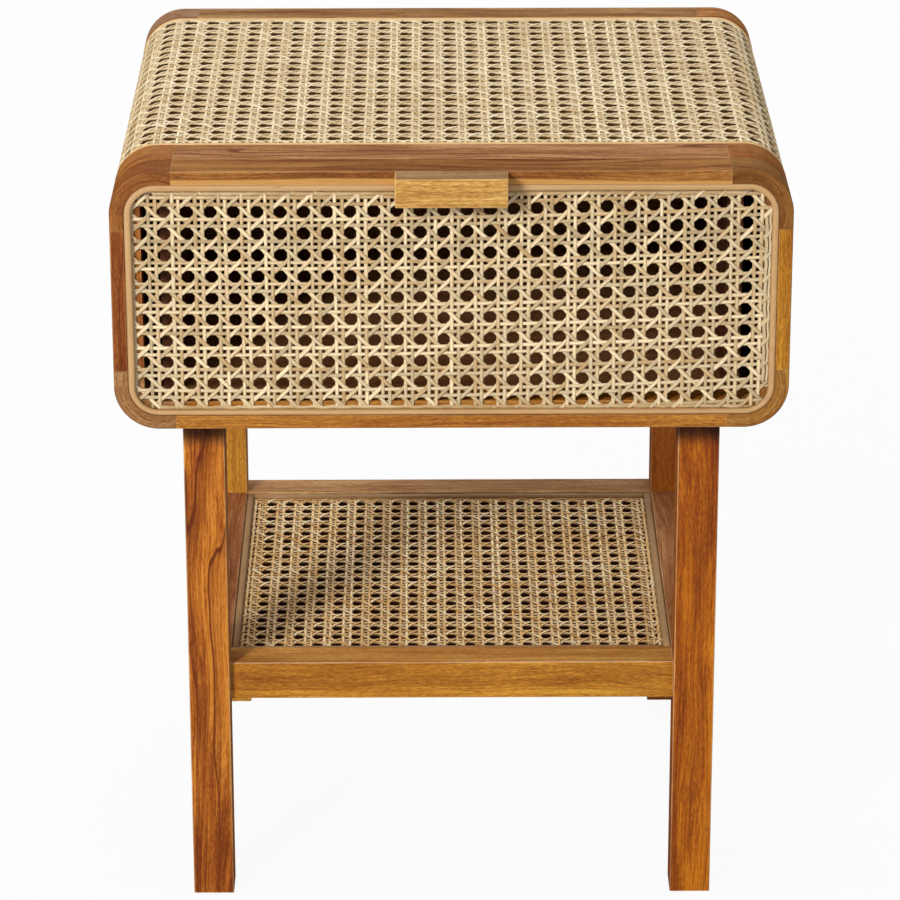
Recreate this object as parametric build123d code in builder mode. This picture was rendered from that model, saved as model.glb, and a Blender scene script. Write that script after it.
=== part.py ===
from build123d import *
import os

# A teak and cane bedside table: a case with rounded corners and one drawer, on four square legs that
# carry a low cane shelf. Millimetres, +Z up, the front faces -Y, and the origin is on the floor at
# the middle of the footprint.

# Overall sizes
overall_width = 450
overall_height = 540
case_height = 180
corner_radius = 30

# Depths that follow each other from the handle to the back
handle_depth = 18
drawer_front_depth = 27
parting_gap = 0.8
front_band_depth = 32.2
board_depth = 320
back_band_depth = 26

# Case walls: teak bands at both ends, boards between them, cane laid in a shallow recess over the boards
wall = 12
corner_block = 41
band_arris = 0.8
back_arris = 1.5
cane_recess = 2
cane_thickness = 1.4
spline_width = 7
back_panel_thickness = 6
back_panel_recess = 10

# Drawer front: a teak frame with a rebate that holds the cane and its bead
face_width = 9.4
stile_width = 20
rail_width = 17.5
rebate_depth = 6
front_arris = 1.2
bead_width = 5
bead_depth = 4.2
bead_round = 1.8

# The cane's eight-sided holes, of which as many are made as fit inside the bead
hole_pitch_across = 15.4
hole_pitch_up = 15
hole_width = 9
hole_shift_across = -5.1
hole_shift_up = -5

# Drawer box
drawer_length = 336
drawer_side_thickness = 11
drawer_back_thickness = 11
drawer_bottom_thickness = 4
drawer_groove = 4
drawer_side_gap = 1.2
drawer_glide_gap = 0.3
drawer_head_gap = 1.5
stop_width = 60
stop_depth = 12
stop_height = 13

# Handle
handle_width = 74
handle_height = 20
handle_arris = 1.2
handle_screw_spread = 40
handle_screw_grip = 10

# Legs
leg_size = 28
leg_side_setback = 43.5
leg_rear_setback = 24
leg_arris = 1
leg_screw_spread = 14
leg_screw_grip = 28

# Shelf
shelf_top = 174
shelf_rail_height = 27
shelf_rail_width = 27
shelf_front_setback = 6.5
shelf_back_setback = 1
shelf_rail_arris = 0.8
shelf_board_thickness = 8
shelf_tongue = 5
shelf_bead_width = 7
shelf_bead_thickness = 2.6
shelf_bead_drop = 1
dowel_diameter = 8
dowel_in_leg = 9
dowel_in_rail = 24

# Screws, and the room left round screws and dowels
screw_diameter = 4.5
screw_head_diameter = 8
screw_head_height = 3
hole_room = 0.2
least_radius = 0.5

# Places worked out from the sizes above
half_width = overall_width / 2
case_top = overall_height
case_base = overall_height - case_height
case_middle = (case_top + case_base) / 2
case_floor = case_base + wall
case_ceiling = case_top - wall
corner_x = half_width - corner_radius
rail_reach = half_width - corner_block

bead_inset = face_width + bead_width
hole_columns = int((overall_width - 2 * bead_inset) // hole_pitch_across)
hole_rows = int((case_height - 2 * bead_inset) // hole_pitch_up)

overall_depth = (handle_depth + drawer_front_depth + parting_gap + front_band_depth + board_depth
                 + back_band_depth)
handle_front = -overall_depth / 2
drawer_face = handle_front + handle_depth
drawer_rear = drawer_face + drawer_front_depth
case_front = drawer_rear + parting_gap
boards_front = case_front + front_band_depth
boards_rear = boards_front + board_depth
case_rear = boards_rear + back_band_depth

leg_inner = half_width - leg_side_setback - leg_size
leg_x = leg_inner + leg_size / 2
front_leg_y = case_front + leg_size / 2
back_leg_y = case_rear - leg_rear_setback - leg_size / 2
front_leg_rear = front_leg_y + leg_size / 2
back_leg_front = back_leg_y - leg_size / 2

shelf_front_y = case_front + shelf_front_setback
shelf_front_inner = shelf_front_y + shelf_rail_width
shelf_back_inner = back_leg_y + leg_size / 2 - shelf_back_setback - shelf_rail_width
shelf_rail_middle = shelf_top - shelf_rail_height / 2
shelf_cane_top = shelf_top - shelf_bead_drop - shelf_bead_thickness
shelf_board_top = shelf_cane_top - cane_thickness
shelf_board_base = shelf_board_top - shelf_board_thickness

sides = {"left": -1, "right": 1}
on_base = (Align.CENTER, Align.CENTER, Align.MIN)

os.makedirs("parts", exist_ok=True)


def facing(y):
    """The upright plane at depth y: local x across, local y up, and its normal to the front."""
    return Plane.XZ.offset(-y)


def save(piece, label):
    piece.part.label = label
    export_step(piece.part, f"parts/{label}.step")


def outline(inset, mode=Mode.ADD):
    """The rounded outline of the case, drawn in by an inset."""
    with Locations((0, case_middle)):
        RectangleRounded(
            overall_width - 2 * inset,
            case_height - 2 * inset,
            max(corner_radius - inset, least_radius),
            mode=mode,
        )


def span_box(x, y, z, mode=Mode.ADD):
    """A box between the two values given for each axis."""
    with Locations(((x[0] + x[1]) / 2, (y[0] + y[1]) / 2, (z[0] + z[1]) / 2)):
        Box(x[1] - x[0], y[1] - y[0], z[1] - z[0], mode=mode)


def front_outline(frame):
    return frame.faces().sort_by(Axis.Y)[0].outer_wire().edges()


def rear_outline(frame):
    return frame.faces().sort_by(Axis.Y)[-1].outer_wire().edges()


# A frame is four straight lengths and four corner blocks, butted where the corner blocks end.
upper = (case_top - corner_block, case_top)
lower = (case_base, case_base + corner_block)
between = (lower[1], upper[0])
frame_windows = {
    "top_rail": ((-rail_reach, rail_reach), (case_middle, case_top)),
    "bottom_rail": ((-rail_reach, rail_reach), (case_base, case_middle)),
    "left_stile": ((-half_width, 0), between),
    "right_stile": ((0, half_width), between),
    "top_left_corner": ((-half_width, -rail_reach), upper),
    "top_right_corner": ((rail_reach, half_width), upper),
    "bottom_left_corner": ((-half_width, -rail_reach), lower),
    "bottom_right_corner": ((rail_reach, half_width), lower),
}


def frame_piece(frame, window, depth_span):
    """One of the eight pieces that a frame is glued up from."""
    with BuildPart() as piece:
        add(frame.part)
        span_box(window[0], depth_span, window[1], mode=Mode.INTERSECT)
    return piece


# Front band of the case; the front legs are screwed on through its bottom rail
leg_screw_x = [s * leg_x + t * leg_screw_spread / 2 for s in sides.values() for t in (-1, 1)]
front_leg_screws = [(x, front_leg_y, case_floor) for x in leg_screw_x]
back_leg_screws = [(x, back_leg_y, case_floor) for x in leg_screw_x]


def leg_screw_holes(places):
    with Locations(*places):
        CounterBoreHole(
            radius=screw_diameter / 2 + hole_room,
            counter_bore_radius=screw_head_diameter / 2 + hole_room,
            counter_bore_depth=screw_head_height,
            depth=wall,
        )


with BuildPart() as front_band:
    with BuildSketch(facing(case_front)):
        outline(0)
        outline(wall, Mode.SUBTRACT)
    extrude(amount=-front_band_depth)
    fillet(front_outline(front_band), band_arris)
    leg_screw_holes(front_leg_screws)

for name, window in frame_windows.items():
    save(frame_piece(front_band, window, (case_front, boards_front)), f"case_front_{name}")

# Back band and the panel that closes it
with BuildPart() as back_band:
    with BuildSketch(facing(boards_rear)):
        outline(0)
        outline(wall, Mode.SUBTRACT)
    extrude(amount=-back_band_depth)
    fillet(rear_outline(back_band), back_arris)

for name, window in frame_windows.items():
    save(frame_piece(back_band, window, (boards_rear, case_rear)), f"case_back_{name}")

with BuildPart() as back_panel:
    with BuildSketch(facing(case_rear - back_panel_recess - back_panel_thickness)):
        outline(wall)
    extrude(amount=-back_panel_thickness)
save(back_panel, "back_panel")

# Boards between the bands, thinner by the recess that the cane lies in; the underside has no cane
boards_span = (boards_front, boards_rear)

with BuildPart() as top_board:
    span_box((-corner_x, corner_x), boards_span, (case_ceiling, case_top - cane_recess))
save(top_board, "top_board")

with BuildPart() as bottom_board:
    span_box((-corner_x, corner_x), boards_span, (case_base, case_floor))
    leg_screw_holes(back_leg_screws)
save(bottom_board, "bottom_board")

for side, sign in sides.items():
    with BuildPart() as side_board:
        span_box(
            sorted((sign * (half_width - wall), sign * (half_width - cane_recess))),
            boards_span,
            (case_base + corner_radius, case_top - corner_radius),
        )
    save(side_board, f"{side}_side_board")

    # Quarter-round corner rails, whose flat inner faces also guide the drawer
    for level, up in {"top": 1, "bottom": -1}.items():
        centre_z = case_middle + up * (case_height / 2 - corner_radius)
        with BuildPart() as corner_rail:
            with BuildSketch(facing(boards_front)):
                with Locations((sign * corner_x, centre_z)):
                    Circle(corner_radius - cane_recess)
                    with Locations((sign * corner_radius / 2, up * corner_radius / 2)):
                        Rectangle(corner_radius, corner_radius, mode=Mode.INTERSECT)
            extrude(amount=-board_depth)
        save(corner_rail, f"{level}_{side}_corner_rail")

# Cane wrapped over the top, the sides and the four corners, with a rattan spline along both edges


def wrap_section(outer_inset):
    """The open ring that lies in the recess over the boards and stops at the underside."""
    outline(outer_inset)
    outline(cane_recess, Mode.SUBTRACT)
    with Locations((0, case_base)):
        Rectangle(2 * corner_x, case_height, mode=Mode.SUBTRACT)


with BuildPart() as case_cane:
    with BuildSketch(facing(boards_front + spline_width)):
        wrap_section(cane_recess - cane_thickness)
    extrude(amount=-(board_depth - 2 * spline_width))
save(case_cane, "case_cane")

with BuildPart() as cane_splines:
    for y in (boards_front, boards_rear - spline_width):
        with BuildSketch(facing(y)):
            wrap_section(0)
        extrude(amount=-spline_width)
save(cane_splines, "cane_splines")

# Stop under the top board, which catches the drawer's back before the drawer comes out
with BuildPart() as drawer_stop:
    span_box(
        (-stop_width / 2, stop_width / 2),
        (boards_front, boards_front + stop_depth),
        (case_ceiling - stop_height, case_ceiling),
    )
save(drawer_stop, "drawer_stop")

# Drawer front frame
handle_screw_z = case_top - face_width / 2
handle_screw_places = [(s * handle_screw_spread / 2, handle_screw_z) for s in (-1, 1)]


def looking_back(x, y, z):
    return Plane(origin=(x, y, z), x_dir=(1, 0, 0), z_dir=(0, 1, 0))


with BuildPart() as drawer_frame:
    with BuildSketch(facing(drawer_face)):
        outline(0)
        outline(face_width, Mode.SUBTRACT)
    extrude(amount=-rebate_depth)
    with BuildSketch(facing(drawer_face + rebate_depth)):
        outline(0)
        with Locations((0, case_middle)):
            RectangleRounded(
                overall_width - 2 * stile_width,
                case_height - 2 * rail_width,
                max(corner_radius - stile_width, least_radius),
                mode=Mode.SUBTRACT,
            )
    extrude(amount=-(drawer_front_depth - rebate_depth))
    fillet(front_outline(drawer_frame), front_arris)
    with Locations(*[looking_back(x, drawer_rear, z) for x, z in handle_screw_places]):
        CounterBoreHole(
            radius=screw_diameter / 2 + hole_room,
            counter_bore_radius=screw_head_diameter / 2 + hole_room,
            counter_bore_depth=screw_head_height,
            depth=drawer_front_depth,
        )

for name, window in frame_windows.items():
    save(frame_piece(drawer_frame, window, (drawer_face, drawer_rear)), f"drawer_front_{name}")

# Cane of the drawer front, a net with eight-sided holes between its pairs of strands
with BuildPart() as drawer_cane:
    with BuildSketch(facing(drawer_face + rebate_depth - cane_thickness)):
        outline(face_width)
        with Locations((hole_shift_across, case_middle + hole_shift_up)):
            with GridLocations(hole_pitch_across, hole_pitch_up, hole_columns, hole_rows):
                RegularPolygon(
                    hole_width / 2, 8, major_radius=False, rotation=22.5, mode=Mode.SUBTRACT
                )
    extrude(amount=-cane_thickness)
save(drawer_cane, "drawer_cane")

# Rattan bead that presses the cane into the rebate
with BuildPart() as drawer_bead:
    with BuildSketch(facing(drawer_face + rebate_depth - cane_thickness - bead_depth)):
        outline(face_width)
        outline(bead_inset, Mode.SUBTRACT)
    extrude(amount=-bead_depth)
    bead_face = drawer_bead.faces().sort_by(Axis.Y)[0]
    fillet(bead_face.edges(), bead_round)
save(drawer_bead, "drawer_bead")

# Handle, a block screwed to the top rail from behind
with BuildPart() as handle:
    span_box(
        (-handle_width / 2, handle_width / 2),
        (handle_front, drawer_face),
        (case_top - handle_height, case_top),
    )
    handle_back = handle.faces().sort_by(Axis.Y)[-1]
    fillet(handle.edges() - handle_back.edges(), handle_arris)
    with Locations(*[looking_back(x, drawer_face, z) for x, z in handle_screw_places]):
        Hole(radius=screw_diameter / 2 + hole_room, depth=handle_screw_grip + hole_room)
save(handle, "handle")


def screw(place, shank_length):
    """A pan-head screw whose head lies just under the plane it is driven from."""
    with Locations(place):
        Cylinder(
            screw_head_diameter / 2,
            screw_head_height,
            align=(Align.CENTER, Align.CENTER, Align.MAX),
        )
        with Locations((0, 0, -screw_head_height)):
            Cylinder(
                screw_diameter / 2,
                shank_length,
                align=(Align.CENTER, Align.CENTER, Align.MAX),
            )


with BuildPart() as handle_screws:
    for x, z in handle_screw_places:
        screw(looking_back(x, drawer_rear, z), drawer_front_depth - screw_head_height + handle_screw_grip)
save(handle_screws, "handle_screws")

with BuildPart() as leg_screws:
    for place in front_leg_screws + back_leg_screws:
        screw(Location(place), wall - screw_head_height + leg_screw_grip)
save(leg_screws, "leg_screws")

# Drawer box, which slides on the case floor between the corner rails
drawer_side_outer = corner_x - drawer_side_gap
drawer_side_inner = drawer_side_outer - drawer_side_thickness
drawer_end = drawer_rear + drawer_length
drawer_bottom_top = case_base + rail_width
drawer_bottom_base = drawer_bottom_top - drawer_bottom_thickness
drawer_bottom_reach = drawer_side_inner + drawer_groove
drawer_back_top = case_top - rail_width

for side, sign in sides.items():
    with BuildPart() as drawer_side:
        span_box(
            sorted((sign * drawer_side_inner, sign * drawer_side_outer)),
            (drawer_rear, drawer_end),
            (case_floor + drawer_glide_gap, case_ceiling - drawer_head_gap),
        )
        span_box(
            sorted((sign * drawer_side_inner, sign * drawer_bottom_reach)),
            (drawer_rear, drawer_end),
            (drawer_bottom_base, drawer_bottom_top),
            mode=Mode.SUBTRACT,
        )
    save(drawer_side, f"drawer_{side}_side")

with BuildPart() as drawer_back:
    span_box(
        (-drawer_side_inner, drawer_side_inner),
        (drawer_end - drawer_back_thickness, drawer_end),
        (drawer_bottom_top, drawer_back_top),
    )
save(drawer_back, "drawer_back")

with BuildPart() as drawer_bottom:
    span_box(
        (-drawer_bottom_reach, drawer_bottom_reach),
        (drawer_rear, drawer_end),
        (drawer_bottom_base, drawer_bottom_top),
    )
save(drawer_bottom, "drawer_bottom")

# Dowels of the shelf rails: each is a point on a leg's face and the direction out of the leg
leg_rows = {"front": front_leg_y, "back": back_leg_y}
dowel_seats = []
for sign in sides.values():
    for y in leg_rows.values():
        dowel_seats.append(((sign * leg_inner, y, shelf_rail_middle), (-sign, 0, 0)))
    dowel_seats.append(((sign * leg_x, front_leg_rear, shelf_rail_middle), (0, 1, 0)))
    dowel_seats.append(((sign * leg_x, back_leg_front, shelf_rail_middle), (0, -1, 0)))


def dowel_holes(depth, outward):
    """Holes for every dowel, drilled from the joint into a leg (outward 1) or into a rail (outward -1)."""
    for point, direction in dowel_seats:
        along = [outward * step for step in direction]
        with Locations(Plane(origin=point, z_dir=along)):
            Cylinder(
                dowel_diameter / 2 + hole_room / 2,
                depth + hole_room,
                align=(Align.CENTER, Align.CENTER, Align.MAX),
                mode=Mode.SUBTRACT,
            )


with BuildPart() as shelf_dowels:
    for point, direction in dowel_seats:
        with Locations(Plane(origin=point, z_dir=direction)):
            with Locations((0, 0, -dowel_in_leg)):
                Cylinder(dowel_diameter / 2, dowel_in_leg + dowel_in_rail, align=on_base)
save(shelf_dowels, "shelf_dowels")

# Legs
for row, y in leg_rows.items():
    for side, sign in sides.items():
        with BuildPart() as leg:
            with Locations((sign * leg_x, y, 0)):
                Box(leg_size, leg_size, case_base, align=on_base)
            fillet(leg.edges().filter_by(Axis.Z), leg_arris)
            for step in (-1, 1):
                with Locations((sign * leg_x + step * leg_screw_spread / 2, y, case_base)):
                    Hole(radius=screw_diameter / 2 + hole_room, depth=leg_screw_grip + hole_room)
            dowel_holes(dowel_in_leg, 1)
        save(leg, f"{row}_{side}_leg")

# Shelf rails between the legs; the front and back ones are grooved for the board
shelf_rail_z = (shelf_top - shelf_rail_height, shelf_top)
shelf_board_z = (shelf_board_base, shelf_board_top)
shelf_board_y = (shelf_front_inner - shelf_tongue, shelf_back_inner + shelf_tongue)
across = (-leg_inner, leg_inner)
cross_rails = {
    "shelf_front_rail": (shelf_front_y, shelf_front_inner),
    "shelf_back_rail": (shelf_back_inner, shelf_back_inner + shelf_rail_width),
}
for name, depth_span in cross_rails.items():
    with BuildPart() as cross_rail:
        span_box(across, depth_span, shelf_rail_z)
        fillet(cross_rail.edges().filter_by(Axis.X), shelf_rail_arris)
        span_box(across, shelf_board_y, shelf_board_z, mode=Mode.SUBTRACT)
        dowel_holes(dowel_in_rail, -1)
    save(cross_rail, name)

for side, sign in sides.items():
    with BuildPart() as side_rail:
        span_box(
            sorted((sign * leg_inner, sign * (leg_inner + shelf_rail_width))),
            (front_leg_rear, back_leg_front),
            shelf_rail_z,
        )
        fillet(side_rail.edges().filter_by(Axis.Y), shelf_rail_arris)
        dowel_holes(dowel_in_rail, -1)
    save(side_rail, f"shelf_{side}_rail")

# Shelf board, the cane laid over it, and the flat beads that hold the cane down
with BuildPart() as shelf_board:
    span_box(across, shelf_board_y, shelf_board_z)
save(shelf_board, "shelf_board")

shelf_opening_y = (shelf_front_inner, shelf_back_inner)
with BuildPart() as shelf_cane:
    span_box(across, shelf_opening_y, (shelf_board_top, shelf_cane_top))
save(shelf_cane, "shelf_cane")

bead_z = (shelf_cane_top, shelf_cane_top + shelf_bead_thickness)
bead_reach = leg_inner - shelf_bead_width
bead_across = (hole_room - bead_reach, bead_reach - hole_room)
with BuildPart() as shelf_beads:
    for sign in sides.values():
        span_box(sorted((sign * bead_reach, sign * leg_inner)), shelf_opening_y, bead_z)
    span_box(bead_across, (shelf_front_inner, shelf_front_inner + shelf_bead_width), bead_z)
    span_box(bead_across, (shelf_back_inner - shelf_bead_width, shelf_back_inner), bead_z)
save(shelf_beads, "shelf_beads")
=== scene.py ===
# %% [markdown]
# # A teak and cane bedside table
#
# The table has a rounded case with one drawer, four square legs and a low shelf. Its shapes
# come from a CAD model that is loaded as a fixed frame, and this lesson gives that frame its
# looks. The teak keeps its CAD shapes and only gets a finish. The cane is different: CAD holds
# it as thin sheets, of which only the drawer front's has holes, so here it is woven again,
# strand by strand.

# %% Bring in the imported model
import math
import random

import bpy
from mathutils import Matrix, Vector


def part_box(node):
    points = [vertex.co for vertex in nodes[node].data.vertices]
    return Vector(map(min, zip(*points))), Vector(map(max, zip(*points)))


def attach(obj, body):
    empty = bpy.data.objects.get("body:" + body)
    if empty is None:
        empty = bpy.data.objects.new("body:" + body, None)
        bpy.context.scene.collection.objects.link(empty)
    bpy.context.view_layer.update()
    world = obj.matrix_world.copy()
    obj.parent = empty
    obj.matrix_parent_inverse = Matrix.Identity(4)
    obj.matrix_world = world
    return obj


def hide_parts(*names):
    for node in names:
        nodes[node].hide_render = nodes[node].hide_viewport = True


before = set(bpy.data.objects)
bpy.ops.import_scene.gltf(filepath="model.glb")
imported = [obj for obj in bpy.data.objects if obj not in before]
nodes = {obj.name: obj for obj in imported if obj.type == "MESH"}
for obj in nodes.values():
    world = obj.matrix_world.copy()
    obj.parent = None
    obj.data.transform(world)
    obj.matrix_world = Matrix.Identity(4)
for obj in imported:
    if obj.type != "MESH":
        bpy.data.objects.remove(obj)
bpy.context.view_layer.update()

# %% [markdown]
# ## Writing shaders as sums
#
# A wood finish is mostly arithmetic on noise. Placing each Math node by hand takes many lines,
# so a tap stands for one output socket, and a sum written with taps adds the Math nodes that
# work it out.

# %% Taps


def plug(value, entry):
    """Joins a tap to an input socket, or writes a plain value on it."""
    if isinstance(value, Tap):
        entry.id_data.links.new(value.socket, entry)
    else:
        entry.default_value = value


class Tap:
    """An output socket that can be added, subtracted and multiplied."""

    def __init__(self, socket):
        self.socket = socket

    def maths(self, operation, *values):
        node = self.socket.id_data.nodes.new("ShaderNodeMath")
        node.operation = operation
        for value, entry in zip(values, node.inputs):
            plug(value, entry)
        return Tap(node.outputs[0])

    def __add__(self, other):
        return self.maths("ADD", self, other)

    def __radd__(self, other):
        return self.maths("ADD", other, self)

    def __sub__(self, other):
        return self.maths("SUBTRACT", self, other)

    def __rsub__(self, other):
        return self.maths("SUBTRACT", other, self)

    def __mul__(self, other):
        return self.maths("MULTIPLY", self, other)

    def __rmul__(self, other):
        return self.maths("MULTIPLY", other, self)

    def __pow__(self, other):
        return self.maths("POWER", self, other)

    def size(self):
        return self.maths("ABSOLUTE", self)

    def part(self):
        """What is left over after whole numbers."""
        return self.maths("FRACT", self)

    def or_more(self, other):
        return self.maths("MAXIMUM", self, other)


# %% [markdown]
# ## Finishes
#
# A finish is the node tree of one material. Every node but sums and the output comes from one
# method, which sets the node's own settings first and then its sockets. The methods after it
# are short names for what comes up again and again: stretched noise, a colour mix, a soft step,
# the parts of a vector.

# %% Finishes


class Finish:
    """The node tree of a material or of the world, while it is written."""

    def __init__(self, owner):
        owner.use_nodes = True
        self.owner = owner
        self.tree = owner.node_tree
        self.tree.nodes.clear()

    def node(self, kind, settings=None, sockets=None, result=0):
        """Any node, from its settings, what goes into its sockets and the output wanted."""
        made = self.tree.nodes.new(kind)
        for name, value in (settings or {}).items():
            if name == "stops":
                ramp = made.color_ramp.elements
                while len(ramp) < len(value):
                    ramp.new(1.0)
                for stop, (position, shade) in zip(ramp, value):
                    stop.position = position
                    stop.color = shade
            else:
                setattr(made, name, value)
        for name, value in (sockets or {}).items():
            plug(value, made.inputs[name])
        return Tap(made.outputs[result])

    def vectors(self, operation, *values, result=0):
        sockets = dict(enumerate(values))
        return self.node("ShaderNodeVectorMath", {"operation": operation}, sockets, result)

    def noise(self, place, waves, detail, result=0):
        """Noise with its own number of waves to a metre along each axis."""
        sockets = {"Vector": self.vectors("MULTIPLY", place, waves), "Scale": 1.0, "Detail": detail}
        return self.node("ShaderNodeTexNoise", {}, sockets, result)

    def mix(self, first, second, amount, way="MIX"):
        settings = {"data_type": "RGBA", "blend_type": way}
        return self.node("ShaderNodeMix", settings, {0: amount, 6: first, 7: second}, 2)

    def rise(self, value, low, high):
        """0 below low, 1 above high, and a soft step between them."""
        sockets = {"Value": value, "From Min": low, "From Max": high}
        return self.node("ShaderNodeMapRange", {"interpolation_type": "SMOOTHSTEP"}, sockets)

    def axes(self, vector):
        """The three parts of a vector."""
        first = self.node("ShaderNodeSeparateXYZ", {}, {0: vector})
        return [Tap(part) for part in first.socket.node.outputs]

    def surface(self, shader):
        """Joins the shader to the output, and gives the finished material or world back."""
        kind = "World" if isinstance(self.owner, bpy.types.World) else "Material"
        end = self.tree.nodes.new("ShaderNodeOutput" + kind)
        plug(shader, end.inputs["Surface"])
        return self.owner


def colour(red, green, blue):
    """A screen colour from 0 to 255 as the linear colour that sockets take."""
    linear = []
    for part in (red, green, blue):
        part = part / 255
        linear.append(part / 12.92 if part <= 0.04045 else ((part + 0.055) / 1.055) ** 2.4)
    return (*linear, 1.0)


def shifted(shade, tint):
    """A colour with each of its three parts multiplied."""
    return (*(part * change for part, change in zip(shade, tint)), 1.0)


# %% [markdown]
# ## Teak
#
# Teak is golden brown, with darker streaks along the grain, short open pores and a dull oiled
# sheen. An image would show the same board on every piece. Here each piece is sawn from its own
# log: yearly rings are counted outwards from a far-off middle, and each ring ends in a thin
# dark line. Noise that is drawn out along the grain bends the rings and adds broad bands,
# patches, fine streaks, specks and pores. The grain runs along the length of a piece, so each
# finish turns the coordinates that way first. In the corner blocks it follows the bend, so
# there they are turned into distances round the bend and out from its middle.

# %% The grain
grain_turns = {
    "across": (0, 0, 0),
    "upright": (0, math.radians(90), 0),
    "deep": (0, 0, math.radians(-90)),
}
corner_bend = 0.03
table_middle = 0.45
log_spread = 4
ring_counts = (110, 220)
ring_curve = (0.02, 1, 1)
ring_upset = 4.0
line_width, line_dark, soft_dark = 0.07, 0.7, 0.3
dice = random.Random(11)


def bend_middle(box):
    """The middle of the bend that a corner block follows, on the table's side of the block."""
    low, high = box
    x = low.x + corner_bend if low.x < 0 else high.x - corner_bend
    z = low.z + corner_bend if low.z < table_middle else high.z - corner_bend
    return Vector((x, 0, z))


def along_grain(finish, name, grain, place):
    """Coordinates whose first axis runs along the grain, somewhere in a log of the piece's own."""
    seed = [dice.uniform(-log_spread, log_spread) for _ in range(3)]
    if grain != "bent":
        turn = {"Vector": place, "Rotation": grain_turns[grain], "Location": seed}
        return finish.node("ShaderNodeMapping", {}, turn)
    x, y, z = finish.axes(finish.vectors("SUBTRACT", place, bend_middle(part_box(name))))
    round_bend = x.maths("ARCTAN2", z, x) * corner_bend + seed[0]
    outwards = (x * x + z * z) ** 0.5 + seed[1]
    return finish.node("ShaderNodeCombineXYZ", {}, {0: round_bend, 1: outwards, 2: y + seed[2]})


def ring_lines(finish, turned, bent, figure, drawn):
    """The dark lines at which rings end, and how strongly they show.

    A board with drawn lines is cut straight across its rings, and they are bold there.
    """
    rings, line, sway, strength = dice.uniform(*ring_counts), 0.89, 2.5, 0.7 * figure
    if drawn:
        rings, line, sway, strength = drawn, 0.78, 7.0, 0.9
        reach = finish.axes(bent)[1]
    else:
        flat = finish.vectors("MULTIPLY", bent, ring_curve)
        reach = finish.vectors("LENGTH", flat, result="Value")
    upset = finish.noise(turned, (sway, 30, 30), 2.0)
    year = (reach * rings + upset * ring_upset).part()
    soft_part = finish.rise(year, 0.30, 0.96) * soft_dark
    hard_part = finish.rise(year, line, line + line_width) * line_dark
    late = (soft_part + hard_part) * (1 - finish.rise(year, 0.97, 1.0))
    broken = finish.rise(finish.noise(turned, (3, 60, 60), 1.0), 0.36, 0.60)
    return late * broken, strength


print("grain runs", ", ".join(grain_turns), "or bent")

# %% [markdown]
# ## What use, growth and painted light add to a board
#
# Four things make a board look real, and a board gets only those that it shows. Sapwood is the
# pale wood under the bark. Edges are rubbed bare and given a painted highlight: the Bevel node
# gives a normal that turns from one face to the next near an edge, so there no part of it comes
# close to 1. What faces up gets a tint of its own, in part a painted sheen. And the front legs
# get painted shade under the drawer's overhang, darker than the shade in this scene alone makes
# them.

# %% Sapwood, rubbed and lit edges, tinted tops and painted shade on the front legs
# The pale colour of rubbed edges, which is also a painted highlight on them.
bare_and_lit_teak = colour(234, 196, 140)
edge_reach = 0.0016
edge_turned = (0.84, 0.98)
sapwood_blur = 0.0008
band_waver, mottle_waver = 0.006, 0.003
sapwood_strength, sapwood_streaks = 0.85, 0.8
top_facing = (0.6, 0.95)
# Painted shade on the front legs: how softly it starts, how strong it gets and its tint.
painted_shade_blur, painted_shade_strength = 0.013, 0.7
painted_shade_tint = (0.05, 0.05, 0.06)


def add_sapwood(finish, shades, place, layers, sapwood):
    """Pale wood below a height, where its limit wavers with the grain."""
    top, shade = sapwood
    bands, mottle, streaks = layers
    waver = (bands - 0.5) * band_waver + (mottle - 0.5) * mottle_waver
    level = finish.axes(place)[2] + waver
    pale = 1 - finish.rise(level, top - sapwood_blur, top + sapwood_blur)
    strength = sapwood_strength - (streaks - 0.5) * sapwood_streaks
    return finish.mix(shades, colour(*shade), pale * strength)


# Edges rubbed pale, and with that a painted highlight where light would catch the eased arris.
def wear_and_light_edges(finish, shades, mottle, worn):
    eased = finish.node("ShaderNodeBevel", {"samples": 6}, {"Radius": edge_reach})
    x, y, z = (part.size() for part in finish.axes(eased))
    edge = 1 - finish.rise(x.or_more(y).or_more(z), *edge_turned)
    rubbed_and_lit = edge * (finish.rise(mottle, 0.35, 0.65) * 0.35 + 0.3) * worn
    return finish.mix(shades, bare_and_lit_teak, rubbed_and_lit)


# Upward faces get a tint of their own: a painted sheen on the shelf's front rail, and on the handle
# a darker, more mauve top whose mauve is a painted sheen.
def tint_topside(finish, shades, topside):
    upward = finish.axes(finish.node("ShaderNodeNewGeometry", {}, {}, "Normal"))[2]
    top_tinted = finish.mix(shades, (*topside, 1.0), 1.0, "MULTIPLY")
    return finish.mix(shades, top_tinted, finish.rise(upward, *top_facing))


# Painted shade: the front legs get darker from a height upwards, under the drawer's overhang.
def paint_leg_top_shade(finish, shades, place, shade, start):
    stain_and_shade = finish.rise(finish.axes(place)[2], start, start + painted_shade_blur)
    return finish.mix(shades, shifted(shade, painted_shade_tint), stain_and_shade * painted_shade_strength)


print("worn edges reach", edge_reach * 1000, "mm")

# %% [markdown]
# ## The wood finish
#
# All noises are counted in waves to a metre, few along the grain and many across it. Their sum
# picks a shade between a deep and a pale form of the board's own colour. Ring lines and pores
# are then mixed in darker, and the same pores make the relief.

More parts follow.
